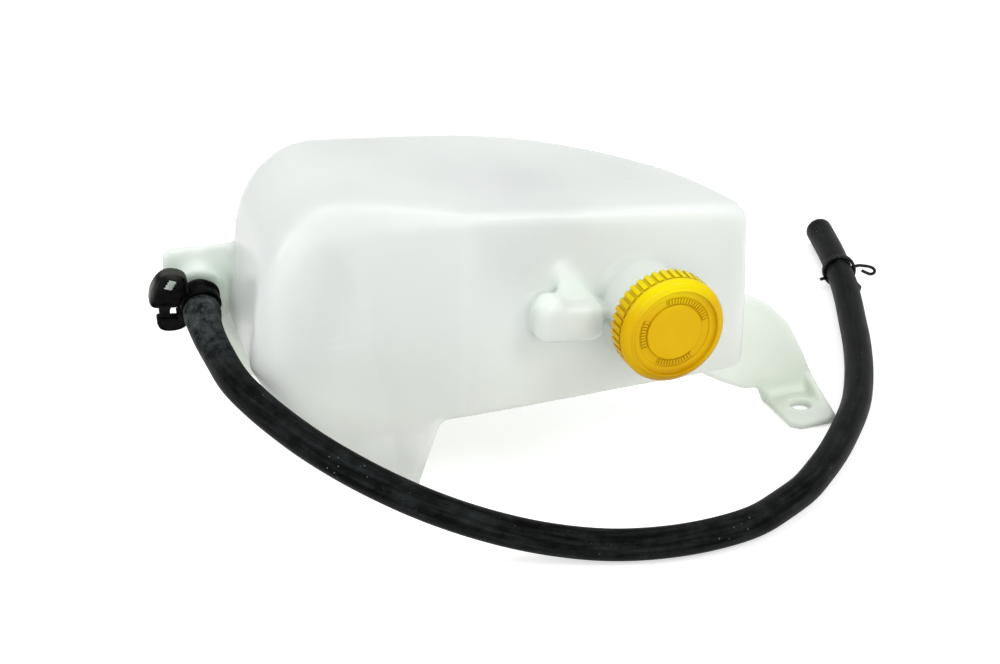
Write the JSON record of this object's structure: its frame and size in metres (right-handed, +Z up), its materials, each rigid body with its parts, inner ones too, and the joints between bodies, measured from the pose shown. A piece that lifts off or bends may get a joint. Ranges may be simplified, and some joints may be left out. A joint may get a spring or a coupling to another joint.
{
  "type": "coolant expansion tank",
  "caption": "Blown coolant expansion tank with a screw cap on a side neck, a deep sump, a pinched mounting foot and a clamped overflow hose.",
  "frame": {"origin": "middle of the flat underside of the sump, on the plane that the tank rests on", "axes": "+X along the front wall from the spigot's end to the foot's end, +Y from the front wall to the back, +Z up"},
  "size_m": [0.4573, 0.3091, 0.1598],
  "materials": {
    "natural_plastic": "translucent satin",
    "cap_plastic": "satin",
    "seal_rubber": "matte",
    "hose_rubber": "matte with grey scuffs",
    "clamp_plastic": "satin",
    "clamp_steel": "black coated"
  },
  "bodies": {
    "tank": {"tank_body": "natural_plastic", "overflow_hose": "hose_rubber", "ratchet_clamp": "clamp_plastic", "spring_clamp": "clamp_steel"},
    "seal": {"cap_seal": "seal_rubber"},
    "cap": {"filler_cap": "cap_plastic"}
  },
  "joints": [
    {"name": "cap_lift", "type": "slide", "parent": "tank", "child": "seal", "axis": [0, -1, 0], "range_m": [0, 0.06]},
    {"name": "cap_turn", "type": "hinge", "parent": "seal", "child": "cap", "pos_m": [0.123, -0.091, 0.0945], "axis": [0, -1, 0], "range_deg": [0, 540]}
  ]
}
